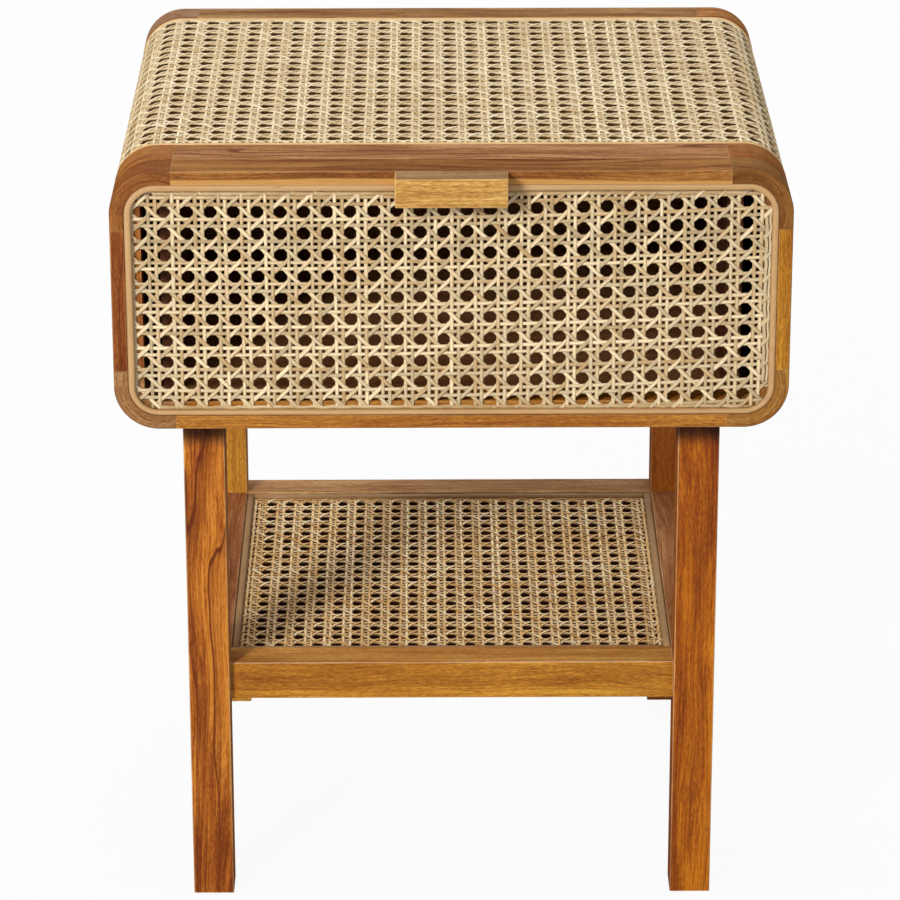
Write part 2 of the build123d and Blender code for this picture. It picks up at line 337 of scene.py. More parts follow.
# %% The wood finish
wander_waves, wander_reach = (4, 14, 14), (0, 0.03, 0.03)
grain_layers = {
    "bands": ((3, 45, 45), 2.0),
    "mottle": ((16, 110, 110), 2.0),
    "streaks": ((10, 800, 800), 3.0),
    "speckle": ((260, 1500, 1500), 2.0),
    "pores": ((110, 2600, 2600), 1.0),
}
shade_ramp = (
    (0.05, (0.50, 0.34, 0.22)),
    (0.38, (0.84, 0.76, 0.66)),
    (0.58, (1.10, 1.16, 1.25)),
    (0.95, (1.60, 2.10, 3.00)),
)
ring_tint, pore_tint = (0.36, 0.22, 0.16), (0.36, 0.24, 0.16)
band_weight, mottle_weight, streak_weight = 1.2, 0.7, 1.2
pore_rise, pore_strength = (0.60, 0.70), 0.5
streak_dullness = 0.16


def wood(
    name, shade, grain, figure=1.0, dull=0.42, shine=0.24,
    worn=0.0, topside=None, sapwood=None, darkened=None, drawn=None,
):
    """A board of the given middle colour, whose figure says how strongly its grain shows.

    worn is how far its edges are rubbed pale and given a painted highlight, topside
    tints what faces up, in part as a painted sheen, sapwood is the height below which the board
    is pale, with its colour, darkened is the height from which it gets painted shade,
    and drawn is the number of bold dark lines to a metre.
    """
    finish = Finish(bpy.data.materials.new(name))
    place = finish.node("ShaderNodeTexCoord", {}, {}, "Object")
    turned = along_grain(finish, name, grain, place)
    wander = finish.noise(turned, wander_waves, 2.0, "Color")
    bent = finish.vectors("MULTIPLY_ADD", wander, wander_reach, turned)
    layers = [finish.noise(bent, *layer) for layer in grain_layers.values()]
    bands, mottle, streaks, speckle, pores = layers
    pores = finish.rise(pores, *pore_rise)
    late, strength = ring_lines(finish, turned, bent, figure, drawn)

    change = (bands - 0.5) * band_weight + (mottle - 0.5) * mottle_weight
    change = change + (streaks - 0.5) * streak_weight
    tone = change * figure + (speckle - 0.5) + 0.5
    stops = [(position, shifted(shade, tint)) for position, tint in shade_ramp]
    shades = finish.node("ShaderNodeValToRGB", {"stops": stops}, {"Fac": tone})
    shades = finish.mix(shades, shifted(shade, ring_tint), late * strength)
    shades = finish.mix(shades, shifted(shade, pore_tint), pores * pore_strength)
    if sapwood:
        shades = add_sapwood(finish, shades, place, (bands, mottle, streaks), sapwood)
    if worn:
        shades = wear_and_light_edges(finish, shades, mottle, worn)
    if topside:
        shades = tint_topside(finish, shades, topside)
    if darkened:
        shades = paint_leg_top_shade(finish, shades, place, shade, darkened)

    height = speckle * 0.5 - pores - late * 0.3
    bump = {"Strength": 0.4, "Distance": 0.0002, "Height": height}
    shader = finish.node(
        "ShaderNodeBsdfPrincipled",
        {},
        {
            "Base Color": shades,
            "Roughness": dull + streaks * streak_dullness,
            "Specular IOR Level": shine,
            "Normal": finish.node("ShaderNodeBump", {}, bump),
        },
    )
    return finish.surface(shader)


def dress(node, material):
    """Gives a CAD node its finish."""
    nodes[node].data.materials.clear()
    nodes[node].data.materials.append(material)


def board(name, shade, *rest, **extras):
    """Gives a CAD node a wood of its own, in a screen colour."""
    dress(name, wood(name, colour(*shade), *rest, **extras))


print("wood is built from", ", ".join(grain_layers))

# %% [markdown]
# ## Which board goes where
#
# On a real table no two boards match. The drawer front's left stile is dark and its right one
# golden, the handle is the palest piece, and the two rails at the top front show bold lines. A
# list holds the boards that stand out, and all others take a common teak that is made a little
# lighter or darker by chance. Chance is asked for every board, so that a new line in the list
# leaves the others as they are.

# %% Teak for the bands, the drawer front and the handle
common_teak = (160, 98, 40)
teak_spread = 0.07
straight_looks = {"figure": 1.0, "worn": 0.35}
corner_looks = {"figure": 0.8}
own_looks = {
    "drawer_front_top_rail": {
        "shade": (142, 87, 32),
        "figure": 0.9,
        "drawn": 130,
        "sapwood": (0.5334, (196, 144, 76)),
    },
    "drawer_front_bottom_rail": {"shade": (171, 109, 36), "figure": 0.7},
    "drawer_front_left_stile": {"shade": (145, 80, 25)},
    "drawer_front_right_stile": {"shade": (171, 111, 26), "figure": 0.7},
    "drawer_front_bottom_left_corner": {"shade": (146, 100, 55)},
    "drawer_front_bottom_right_corner": {"shade": (156, 105, 42)},
    "drawer_front_top_left_corner": {"shade": (138, 81, 30)},
    "drawer_front_top_right_corner": {"shade": (133, 86, 33)},
    # The case's top rails and the back band's top left corner are bluer than common teak: in part a
    # painted sheen on faces seen slantwise.
    "case_front_top_rail": {"shade": (168, 115, 66), "figure": 0.8, "drawn": 75},
    "case_back_top_rail": {"shade": (158, 114, 62)},
    "case_back_top_left_corner": {"shade": (150, 108, 74)},
}
band_grain = {
    "top_rail": "across",
    "bottom_rail": "across",
    "left_stile": "upright",
    "right_stile": "upright",
    "top_left_corner": "bent",
    "top_right_corner": "bent",
    "bottom_left_corner": "bent",
    "bottom_right_corner": "bent",
}


def chance(shade):
    lift = dice.uniform(1 - teak_spread, 1 + teak_spread)
    return [part * lift for part in shade]


for band in ("case_front", "case_back", "drawer_front"):
    for piece, grain in band_grain.items():
        name = f"{band}_{piece}"
        looks = {"shade": chance(common_teak), "grain": grain}
        looks.update(corner_looks if grain == "bent" else straight_looks)
        looks.update(own_looks.get(name, {}))
        board(name, **looks)

# The handle's top is tinted darker and more mauve than its front; the mauve is a painted sheen.
board("handle", (197, 149, 76), "across", 0.7, worn=0.7, topside=(0.52, 0.50, 0.70))
print("teak bands, drawer front and handle dressed")

# %% [markdown]
# ## Legs and shelf rails
#
# The legs are redder than the rest, and their edges are rubbed the palest, with the strongest
# painted highlight. Under the drawer's overhang the front legs get painted shade for about three
# centimetres. The top of the shelf's front rail looks paler and bluer than its face, so it gets
# a tint of its own, a painted sheen.

# %% Teak for the legs and the shelf rails
# The front legs get painted shade from this height up, under the drawer's overhang.
painted_shade_start = 0.333
# A painted sheen on the top of the shelf's front rail: paler, and much bluer.
rail_top_sheen = (1.07, 1.17, 2.5)
leg_looks = {
    "front_left_leg": ((164, 89, 20), 1.5, painted_shade_start),
    "front_right_leg": ((160, 82, 5), 1.2, painted_shade_start),
    "back_left_leg": ((186, 125, 38), 0.5, None),
    "back_right_leg": ((182, 98, 26), 0.6, None),
}
rail_looks = {
    "shelf_front_rail": ((178, 115, 30), "across", 0.7, rail_top_sheen),
    # The back rail is seen from above, and its bluer shade is in part a painted sheen.
    "shelf_back_rail": ((168, 118, 66), "across", 0.9, None),
    "shelf_left_rail": ((148, 88, 48), "deep", 1.0, None),
    "shelf_right_rail": ((155, 99, 54), "deep", 1.0, None),
}
for name, (shade, figure, darkened) in leg_looks.items():
    board(name, shade, "upright", figure, worn=1.0, darkened=darkened)
for name, (shade, grain, figure, topside) in rail_looks.items():
    board(name, shade, grain, figure, worn=0.9, topside=topside)
print("legs and shelf rails dressed")

# %% [markdown]
# ## Plainer woods inside
#
# What doesn't show is taken to be plainer wood, and the drawer box to be unoiled, so it is
# duller than the front. The boards under the cane are dark and matt, and only their colour
# comes through the holes: a shine on them would turn the holes grey. The same finish does all
# of it, with less figure and a duller skin.

# %% Boards, drawer box and dowels
# The drawer's sides are darker than its back and bottom: painted shade, seen through the cane's
# outer holes.
shaded_box_side, box_floor = (112, 66, 38), (172, 116, 68)
under_cane, corner_rail = (80, 51, 18), (90, 60, 30)
inner_looks = {
    "drawer_left_side": (shaded_box_side, "deep", 0.6, 0.6),
    "drawer_right_side": (shaded_box_side, "deep", 0.6, 0.6),
    "drawer_back": (box_floor, "across", 0.6, 0.6),
    "drawer_bottom": (box_floor, "across", 0.5, 0.6),
    "back_panel": ((156, 104, 60), "across", 0.7, 0.5),
    "top_board": (under_cane, "across", 0.6, 0.7, 0.1),
    "bottom_board": (under_cane, "across", 0.6, 0.7, 0.1),
    "left_side_board": (under_cane, "upright", 0.6, 0.7, 0.1),
    "right_side_board": (under_cane, "upright", 0.6, 0.7, 0.1),
    "top_left_corner_rail": (corner_rail, "deep", 0.6, 0.7),
    "top_right_corner_rail": (corner_rail, "deep", 0.6, 0.7),
    "bottom_left_corner_rail": (corner_rail, "deep", 0.6, 0.7),
    "bottom_right_corner_rail": (corner_rail, "deep", 0.6, 0.7),
    "shelf_board": ((36, 15, 6), "across", 0.5, 0.9, 0.04),
    "drawer_stop": ((150, 100, 60), "across", 0.6, 0.5),
    "shelf_dowels": ((190, 150, 100), "across", 0.5, 0.5),
}
for name, looks in inner_looks.items():
    board(name, *looks)
print("inner woods dressed:", len(inner_looks))

# %% [markdown]
# ## Screws
#
# The screws are seen only when the drawer is out. Brushed steel is a metal whose roughness
# changes in fine patches.

# %% Steel
screw_finish = Finish(bpy.data.materials.new("screw_steel"))
screw_place = screw_finish.node("ShaderNodeTexCoord", {}, {}, "Object")
patches = screw_finish.noise(screw_place, (900, 900, 900), 2.0)
steel = screw_finish.surface(
    screw_finish.node(
        "ShaderNodeBsdfPrincipled",
        {},
        {
            "Base Color": screw_finish.mix(colour(170, 166, 158), colour(205, 202, 196), patches),
            "Metallic": 1.0,
            "Roughness": 0.25 + patches * 0.2,
        },
    )
)
for name in ("leg_screws", "handle_screws"):
    dress(name, steel)
print("screws dressed")

# %% [markdown]
# ## Strands
#
# Cane is peeled rattan in flat strands. Each strand here is a closed strip: a small ring of
# points is carried along a line, and neighbouring rings are joined by faces. A curve with a
# bevel would give the same shape, but rings also let each point note how far along its strand
# it lies and which strand it is on, and the finish reads those notes to colour every strand by
# itself. The strips are laid side by side in a flat map too, so that the looks can later be
# painted to an image.

# %% A bundle of strips
row_margin, row_span = 0.06, 0.88
cap_radius, cap_span = 0.0006, 0.4
map_margin = 0.001


class Bundle:
    """Strips that become one mesh."""

    def __init__(self):
        self.points = []
        self.notes = []
        self.faces = []
        self.spots = []
        self.strips = 0

    def add(self, rings, section, looped=False):
        """One strip from rings of points; section tells how far to its side each point lies."""
        first = len(self.points)
        count = len(section)
        middles = [sum(ring, Vector()) / count for ring in rings]
        along = [0.0]
        for here, there in zip(middles, middles[1:]):
            along.append(along[-1] + (there - here).length)
        for ring, travelled in zip(rings, along):
            for point, (side, _) in zip(ring, section):
                self.points.append(point)
                self.notes.append((travelled, 2 * side, self.strips))
        if looped:
            along.append(along[-1] + (middles[0] - middles[-1]).length)
        for step in range(len(along) - 1):
            here = first + step * count
            there = first + (step + 1) % len(rings) * count
            for side in range(count):
                after = (side + 1) % count
                self.faces.append((here + side, here + after, there + after, there + side))
                corners = ((step, side), (step, side + 1), (step + 1, side + 1), (step + 1, side))
                for stop, across in corners:
                    self.mark(along[stop], across / count)
        if not looped:
            last = first + (len(rings) - 1) * count
            self.cap([first + side for side in reversed(range(count))], along[0])
            self.cap([last + side for side in range(count)], along[-1])
        self.strips += 1

    def cap(self, corners, travelled):
        """Closes an end of the newest strip."""
        self.faces.append(tuple(corners))
        for number in range(len(corners)):
            angle = 2 * math.pi * number / len(corners)
            self.mark(travelled + cap_radius * math.cos(angle), 0.5 + cap_span * math.sin(angle))

    def mark(self, travelled, across):
        """A spot on the newest strip's own row of the flat map."""
        self.spots.append((travelled, self.strips + row_margin + row_span * across))

    def make(self, name, material, body, slot, *stands_for):
        """The piece itself, which rides on a body and stands for CAD nodes."""
        mesh = bpy.data.meshes.new(name)
        mesh.from_pydata(self.points, [], self.faces)
        mesh.attributes.new("strand", "FLOAT_VECTOR", "POINT")
        flat_notes = [part for note in self.notes for part in note]
        mesh.attributes["strand"].data.foreach_set("vector", flat_notes)
        longest = max(spot[0] for spot in self.spots) + 2 * map_margin
        layer = mesh.uv_layers.new(name="OFBake")
        flat_spots = []
        for travelled, row in self.spots:
            flat_spots += [(travelled + map_margin) / longest, row / self.strips]
        layer.data.foreach_set("uv", flat_spots)
        mesh.polygons.foreach_set("use_smooth", [True] * len(mesh.polygons))
        mesh.materials.append(material)
        mesh.update()
        piece = bpy.data.objects.new(name, mesh)
        bpy.context.scene.collection.objects.link(piece)
        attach(piece, body)
        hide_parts(*stands_for)
        print(name, self.strips, "strips", len(mesh.polygons), "faces")


# %% [markdown]
# ## Rattan
#
# A rattan strand has a hard pale skin with a satin shine, and its cut sides are browner; that
# brown edge also stands for the shade between strands, as painted shade. Its colour drifts from
# straw to tan along its length, and no strand quite matches the next. The finish reads the strand
# notes: noise along the strand, shifted by the strand's number, mixes a pale and a warm colour,
# the distance to the side draws the brown edges, partly painted shade, and finer noise draws
# fibres.

# %% The rattan finish
drift_waves, fibre_waves, knot_waves = (14, 0.4, 7.31), (60, 7, 3.7), (55, 0.6, 11.3)
odd_shift = 0.37


def rattan(name, pale, warm, odd, stain_and_shade, edge=0.5, marked=0.45):
    """Strands from a pale to a warm colour, some of an odd one, with edges made darker, partly as
    painted shade, and marks.
    """
    finish = Finish(bpy.data.materials.new(name))
    strand = finish.node("ShaderNodeAttribute", {"attribute_name": "strand"}, {}, "Vector")
    _, side, number = finish.axes(strand)
    by_number = ("ShaderNodeTexWhiteNoise", {"noise_dimensions": "1D"})
    own = finish.node(*by_number, {"W": number})
    odd_one = finish.node(*by_number, {"W": number + odd_shift})
    drift = finish.noise(strand, drift_waves, 2.0)
    fibres = finish.noise(strand, fibre_waves, 3.0)
    knots = finish.rise(finish.noise(strand, knot_waves, 1.0), 0.66, 0.80)
    shades = finish.mix(pale, warm, finish.rise(drift * 0.75 + own * 0.25, 0.36, 0.66))
    shades = finish.mix(shades, odd, finish.rise(odd_one, 0.45, 0.95) * 0.7)
    shades = finish.mix(shades, stain_and_shade, finish.rise(own, 0.6, 1.0) * 0.25)
    shades = finish.mix(shades, stain_and_shade, knots * marked)
    shades = finish.mix(shades, stain_and_shade, finish.rise(fibres, 0.48, 0.78) * marked)
    shades = finish.mix(shades, stain_and_shade, finish.rise(side.size(), 0.35, 0.95) * edge)
    bump = {"Strength": 0.3, "Distance": 0.0001, "Height": fibres}
    shader = finish.node(
        "ShaderNodeBsdfPrincipled",
        {},
        {
            "Base Color": shades,
            "Roughness": 0.38 + fibres * 0.2,
            "Specular IOR Level": 0.35,
            "Normal": finish.node("ShaderNodeBump", {}, bump),
        },
    )
    return finish.surface(shader)


# Each sheet's colours are matched to the light that falls on it, so the front, top and shelf cane
# are lit and shaded copies of one cane: their differences are in part painted light and shade.
straw, honey, moss, bark = (
    colour(242, 220, 178), colour(194, 160, 110), colour(184, 168, 132), colour(126, 90, 50)
)
front_rattan = rattan("front_cane", straw, honey, moss, bark, 0.35)
top_pale, sand, hay, hazel = (
    colour(252, 237, 200), colour(224, 198, 148), colour(214, 192, 150), colour(146, 106, 58)
)
top_rattan = rattan("top_cane", top_pale, sand, hay, hazel, 0.55)
cream, apricot, amber, peat = (
    colour(254, 229, 180), colour(240, 190, 112), colour(212, 156, 80), colour(76, 36, 8)
)
shelf_rattan = rattan("shelf_cane", cream, apricot, amber, peat, 0.88, 0.25)
tan, umber, walnut = colour(192, 158, 110), colour(158, 121, 80), colour(124, 86, 54)
shelf_bead_rattan = rattan("shelf_bead", tan, umber, umber, walnut, 0.4)
biscuit, toast, crust = colour(214, 180, 131), colour(190, 149, 99), colour(144, 100, 58)
bead_rattan = rattan("bead", biscuit, toast, toast, crust, 0.3)
maize, ochre, russet = colour(238, 206, 154), colour(216, 176, 118), colour(160, 114, 66)
spline_rattan = rattan("spline", maize, ochre, ochre, russet, 0.3)
print("six rattans, from", front_rattan.name, "to", spline_rattan.name)

# %% [markdown]
# ## The weave
#
# Six-way cane has pairs of strands up and across, and single strands along both diagonals. The
# pairs weave over and under each other. One diagonal lies over the upright pairs and under the
# level ones, and the other does the opposite, so they cross where the pairs are and leave
# eight-sided holes. The pattern is worked out on a flat sheet, where u runs across, v runs
# along and h stands off the sheet. A place function then lays the sheet where it belongs: flat,
# or bent round the case. The gauges give each sheet's strands in metres. Old cane is pressed
# flat, so the pairs lift by about half their thickness or less.

# %% Gauges
ribbon = ((-0.5, -0.5), (0.5, -0.5), (0.36, 0.5), (-0.36, 0.5))
fine_ribbon = (
    (-0.48, -0.5),
    (0.48, -0.5),
    (0.5, 0.1),
    (0.32, 0.5),
    (-0.32, 0.5),
    (-0.5, 0.1),
)
front_gauge = {
    "section": fine_ribbon,
    "width": 0.0024,
    "slant_width": 0.0026,
    "thickness": 0.00055,
    "lift": 0.00028,
    "slant_lift": 0.00062,
    "gap": 0.0045,
    "wobble": 0.00022,
}
case_gauge = {
    "section": ribbon,
    "width": 0.0022,
    "slant_width": 0.0026,
    "thickness": 0.00066,
    "lift": 0.00025,
    "slant_lift": 0.00044,
    "gap": 0.00425,
    "wobble": 0.0002,
}
shelf_gauge = {
    "section": fine_ribbon,
    "width": 0.0025,
    "slant_width": 0.0026,
    "thickness": 0.0008,
    "lift": 0.00025,
    "slant_lift": 0.00045,
    "gap": 0.0045,
    "wobble": 0.0003,
}
print("strands are", front_gauge["width"] * 1000, "mm wide on the drawer front")

# %% Weaving a sheet
look_step = 0.0005
shortest_strand = 0.003
sway_waves, sway_start = 31, 9
width_range = (0.9, 1.08)


def inside_run(inside, start, step, reach):
    """The first and last distance at which a straight line lies on the sheet, or nothing."""
    looks = [n * look_step for n in range(int(reach / look_step) + 1)]
    found = [look for look in looks if inside(*(start + step * look))]
    return (found[0], found[-1]) if found and found[-1] - found[0] > shortest_strand else None


def lines_between(first, pitch, low, high):
    start = math.ceil((low - first) / pitch)
    end = math.floor((high - first) / pitch)
    return [first + number * pitch for number in range(start, end + 1)]


def weave(bundle, place, inside, low, high, hole, pitch, gauge):
    """Weaves the sheet between two corners; hole is the middle of one hole."""
    luck = random.Random(5)
    half_gap = gauge["gap"] / 2

    def pair_lines(axis, spare):
        """The lines between holes along one axis, on which the pairs of strands lie."""
        first = hole[axis] + pitch[axis] / 2
        return lines_between(first, pitch[axis], low[axis] - spare, high[axis] + spare)

    def strand(start, end, crossings, width):
        """Lays one strand along a straight line; crossings holds (distance, height) pairs."""
        step = (end - start).normalized()
        run = inside_run(inside, start, step, (end - start).length)
        if run is None:
            return
        between = [stop for stop in sorted(crossings) if run[0] < stop[0] < run[1]]
        across = Vector((-step.y, step.x))
        shift, sway, phase = (luck.uniform(-1, 1) for _ in range(3))
        own_width = width * luck.uniform(*width_range)
        rings = []
        for distance, height in [(run[0], 0.0), *between, (run[1], 0.0)]:
            swing = math.sin(distance * sway_waves + phase * sway_start)
            drift = gauge["wobble"] * (shift + sway * swing)
            middle = start + step * distance + across * drift
            ring = []
            for side, up in gauge["section"]:
                spot = middle + across * (side * own_width)
                ring.append(Vector(place(spot.x, spot.y, height + up * gauge["thickness"])))
            rings.append(ring)
        bundle.add(rings, gauge["section"])

    upright_lines, level_lines = pair_lines(0, pitch[0]), pair_lines(1, pitch[1])
    for line in upright_lines:
        for side in (-1, 1):
            u = line + side * half_gap
            crossings = []
            for level in level_lines:
                crossings.append((level - low[1] + pitch[1] / 2, 0.0))
                for row in (-1, 1):
                    height = -side * row * gauge["lift"]
                    crossings.append((level + row * half_gap - low[1], height))
            strand(Vector((u, low[1])), Vector((u, high[1])), crossings, gauge["width"])
    for level in level_lines:
        for row in (-1, 1):
            v = level + row * half_gap
            crossings = []
            for line in upright_lines:
                crossings.append((line - low[0] + pitch[0] / 2, 0.0))
                for side in (-1, 1):
                    height = side * row * gauge["lift"]
                    crossings.append((line + side * half_gap - low[0], height))
            strand(Vector((low[0], v)), Vector((high[0], v)), crossings, gauge["width"])

    start_u, end_u = low[0] - pitch[0], high[0] + pitch[0]
    spare = (high[1] - low[1]) / pitch[1] * pitch[0] + pitch[0]
    for lean in (-1, 1):
        slope = lean * pitch[1] / pitch[0]
        stretch = math.hypot(1, slope)
        height = lean * gauge["slant_lift"]
        for through in pair_lines(0, spare):
            crossings = []
            for line in upright_lines:
                for side in (-1, 1):
                    u = line + side * half_gap
                    crossings.append(((u - start_u) * stretch, -height))
            for level in level_lines:
                for row in (-1, 1):
                    u = through + (level + row * half_gap - hole[1]) / slope
                    crossings.append(((u - start_u) * stretch, height))
            start = Vector((start_u, hole[1] + slope * (start_u - through)))
            end = Vector((end_u, hole[1] + slope * (end_u - through)))
            strand(start, end, crossings, gauge["slant_width"])


def rounded_inside(low, high, radius):
    """Tells whether a spot lies in a rectangle with rounded corners."""

    def inside(u, v):
        if not (low[0] <= u <= high[0] and low[1] <= v <= high[1]):
            return False
        du = max(low[0] + radius - u, u - high[0] + radius, 0)
        dv = max(low[1] + radius - v, v - high[1] + radius, 0)
        return du * du + dv * dv <= radius * radius

    return inside


print("strands shorter than", shortest_strand * 1000, "mm are left out")

# %% [markdown]
# ## Strands along the edges
#
# Where a sheet is pressed in beside a bead, loose strands bunch up and run along it. Each is
# one more strip, which sways a little and rises and sinks over the ends of the others.

# %% Edge strands
edge_step = 0.0038
edge_sway, edge_turn = 0.0003, 1.9
edge_rise = 0.0005
edge_thickness = 0.0007
towards_front, upwards = Vector((0, -1, 0)), Vector((0, 0, 1))


def edge_strand(bundle, start, end, face, width):
    """One strand beside a bead, on the side that face points to."""
    start, end = Vector(start), Vector(end)
    step = (end - start).normalized()
    across = face.cross(step)
    count = round((end - start).length / edge_step)
    rings = []
    for n in range(count + 1):
        middle = start.lerp(end, n / count) + across * (edge_sway * math.sin(n * edge_turn))
        height = edge_rise * math.sin(n * math.pi / 2)
        ring = []
        for side, up in fine_ribbon:
            ring.append(middle + across * (side * width) + face * (height + up * edge_thickness))
        rings.append(ring)
    bundle.add(rings, fine_ribbon)


print("edge strands bend every", edge_step * 1000, "mm")

# %% [markdown]
# ## The drawer front's cane
#
# Woven cane is pulled into its groove by hand, so its rows seldom run true. On this drawer they
# start level at the left and climb a few millimetres towards the right. The place function adds
# that climb. One edge strand lies along the top, one along the bottom and two along the right.

# %% The drawer front's cane
front_low, front_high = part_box("drawer_cane")
front_inset, edge_stand = 0.0009, 0.0005
front_depth = front_high.y - front_inset
front_corner = 0.0206
front_slack = 0.009
front_hole, front_pitch = (-0.0051, 0.4503), (0.01536, 0.015)
climb_middle, climb_slope, climb_bend = 0.00135, 0.0168, 0.063


def climb(u):
    return climb_middle + climb_slope * u + climb_bend * u * u


def in_front(u, v):
    return in_front_frame(u, v + climb(u))


def on_front(u, v, h):
    return (u, front_depth - h, v + climb(u))


in_front_frame = rounded_inside(
    (front_low.x, front_low.z), (front_high.x, front_high.z), front_corner
)
front_cane = Bundle()
weave(
    front_cane,
    on_front,
    in_front,
    (front_low.x, front_low.z - front_slack),
    (front_high.x, front_high.z + front_slack),
    front_hole,
    front_pitch,
    front_gauge,
)
edge_depth = front_depth - edge_stand
edge_left, edge_right = front_low.x + front_corner, front_high.x - front_corner
edge_base, edge_head = front_low.z + front_corner, front_high.z - front_corner
level_edges = ((front_high.z - 0.0070, 0.0036), (front_low.z + 0.0043, 0.0026))
upright_edges = ((front_high.x - 0.0078, 0.0024), (front_high.x - 0.0053, 0.0017))
for z, width in level_edges:
    ends = (edge_left, edge_depth, z), (edge_right, edge_depth, z)
    edge_strand(front_cane, *ends, towards_front, width)
for x, width in upright_edges:
    ends = (x, edge_depth, edge_base), (x, edge_depth, edge_head)
    edge_strand(front_cane, *ends, towards_front, width)
front_cane.make("woven_front", front_rattan, "drawer", "cane", "drawer_cane")

# %% [markdown]
# ## The shelf's cane
#
# The shelf's sheet lies flat on a dark board. Its weave is closer and its colour warmer and
# brighter, in part painted light where the case keeps light off it, and one edge strand runs
# along each of the four beads that hold it down.

# %% The shelf's cane
sharp_corner = 0.0001
sheet_lift = 0.001
shelf_low, shelf_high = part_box("shelf_cane")
shelf_level = shelf_low.z + sheet_lift
shelf_corners = (shelf_low.x, shelf_low.y), (shelf_high.x, shelf_high.y)
shelf_hole, shelf_pitch = (0.0, 0.012), (0.0134, 0.0148)


def on_shelf(u, v, h):
    return (u, v, shelf_level + h)


in_shelf = rounded_inside(*shelf_corners, sharp_corner)
shelf_cane = Bundle()
weave(shelf_cane, on_shelf, in_shelf, *shelf_corners, shelf_hole, shelf_pitch, shelf_gauge)
strip_low, strip_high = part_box("shelf_beads")
rim, rim_width, rim_stand = 0.0070, 0.003, 0.0004
rim_level = shelf_level + rim_stand
rim_left, rim_right = strip_low.x + rim, strip_high.x - rim
rim_front, rim_back = strip_low.y + rim, strip_high.y - rim
for x in (rim_left, rim_right):
    ends = (x, rim_front, rim_level), (x, rim_back, rim_level)
    edge_strand(shelf_cane, *ends, upwards, rim_width)
for y in (rim_front, rim_back):
    ends = (rim_left, y, rim_level), (rim_right, y, rim_level)
    edge_strand(shelf_cane, *ends, upwards, rim_width)
shelf_cane.make("woven_shelf", shelf_rattan, "case", "cane", "shelf_cane")

# %% [markdown]
# ## The cane round the case
#
# One sheet is wrapped from under one side, over the top, to under the other. It could be woven
# flat and then bent with a modifier. A place function does the same with less to go wrong: it
# counts how far a spot lies from the middle of the top and turns that into a place on the flat
# top, a corner, a side or a lower corner. The sizes come from the boxes of the sheet and of the
# board under it.

# %% The cane round the case
cane_low, cane_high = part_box("case_cane")
_, board_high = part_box("top_board")
flat_reach = board_high.x
cane_depth = cane_high.z - board_high.z
bend_radius = cane_high.x - flat_reach - cane_depth / 2
bend_length = bend_radius * math.pi / 2
upper_bend = cane_high.z - cane_depth / 2 - bend_radius
lower_bend = cane_low.z + cane_depth / 2 + bend_radius
wrap_reach = flat_reach + 2 * bend_length + upper_bend - lower_bend
wrap_lift = sheet_lift - cane_depth / 2
wrap_corners = (-wrap_reach, cane_low.y), (wrap_reach, cane_high.y)
wrap_hole, wrap_pitch = (0.0, 0.02), (0.01572, 0.01533)


def round_case(u, v, h):
    """A spot of the sheet that is wrapped over the case."""
    side = math.copysign(1, u)
    left = abs(u)
    out = bend_radius + wrap_lift + h
    if left <= flat_reach:
        return (u, v, upper_bend + out)
    left -= flat_reach
    if left <= bend_length:
        angle = left / bend_radius
        x, z = flat_reach + out * math.sin(angle), upper_bend + out * math.cos(angle)
        return (side * x, v, z)
    left -= bend_length
    if left <= upper_bend - lower_bend:
        return (side * (flat_reach + out), v, upper_bend - left)
    angle = (left - upper_bend + lower_bend) / bend_radius
    x, z = flat_reach + out * math.cos(angle), lower_bend - out * math.sin(angle)
    return (side * x, v, z)


in_wrap = rounded_inside(*wrap_corners, sharp_corner)
case_cane = Bundle()
weave(case_cane, round_case, in_wrap, *wrap_corners, wrap_hole, wrap_pitch, case_gauge)
case_cane.make("woven_case", top_rattan, "case", "cane", "case_cane")

# %% [markdown]
# ## The drawer front's bead
#
# Rattan strips hide the cut edges of the cane. In the drawer front it is a round bead, bent to
# the frame's corners and slimmer along the bottom and the right. Like a strand, it is a ring of
# points carried along a path, which here closes on itself.

# %% The drawer front's bead
bead_low, bead_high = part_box("drawer_bead")
bead_width = 0.005
bead_depth = bead_high.y - bead_low.y
bead_middle = (bead_low.y + bead_high.y) / 2
slim_below, slim_right = 0.30, 0.10
corner_steps = 14
bead_section = (
    (0.5, 0.5),
    (-0.5, 0.5),
    (-0.5, -0.05),
    (-0.45, -0.30),
    (-0.28, -0.45),
    (0.0, -0.5),
    (0.28, -0.48),
    (0.44, -0.40),
    (0.5, -0.24),
)


def quarter(centre, start):
    """A quarter turn of the bead's middle line, with the angle at each spot."""
    radius = front_corner - bead_width / 2
    spots = []
    for n in range(corner_steps + 1):
        angle = math.radians(start + 90 * n / corner_steps)
        x, z = centre[0] + radius * math.cos(angle), centre[1] + radius * math.sin(angle)
        spots.append((x, z, angle))
    return spots


def bead_ring(x, z, angle):
    """The bead's section at one spot of its path."""
    out = Vector((math.cos(angle), 0, math.sin(angle)))
    middle = Vector((x, bead_middle, z))
    slim = 1 - slim_below * max(0, -math.sin(angle)) - slim_right * max(0, math.cos(angle))
    ring = []
    for a, b in bead_section:
        reach = (0.5 - (0.5 - a) * slim) * bead_width
        ring.append(middle + out * reach + Vector((0, b * bead_depth, 0)))
    return ring


bend_left, bend_right = bead_low.x + front_corner, bead_high.x - front_corner
bend_below, bend_above = bead_low.z + front_corner, bead_high.z - front_corner
bead_path = (
    quarter((bend_right, bend_above), 0)
    + quarter((bend_left, bend_above), 90)
    + quarter((bend_left, bend_below), 180)
    + quarter((bend_right, bend_below), 270)
)
front_bead = Bundle()
front_bead.add([bead_ring(*spot) for spot in bead_path], bead_section, looped=True)
front_bead.make("round_bead", bead_rattan, "drawer", "rattan", "drawer_bead")

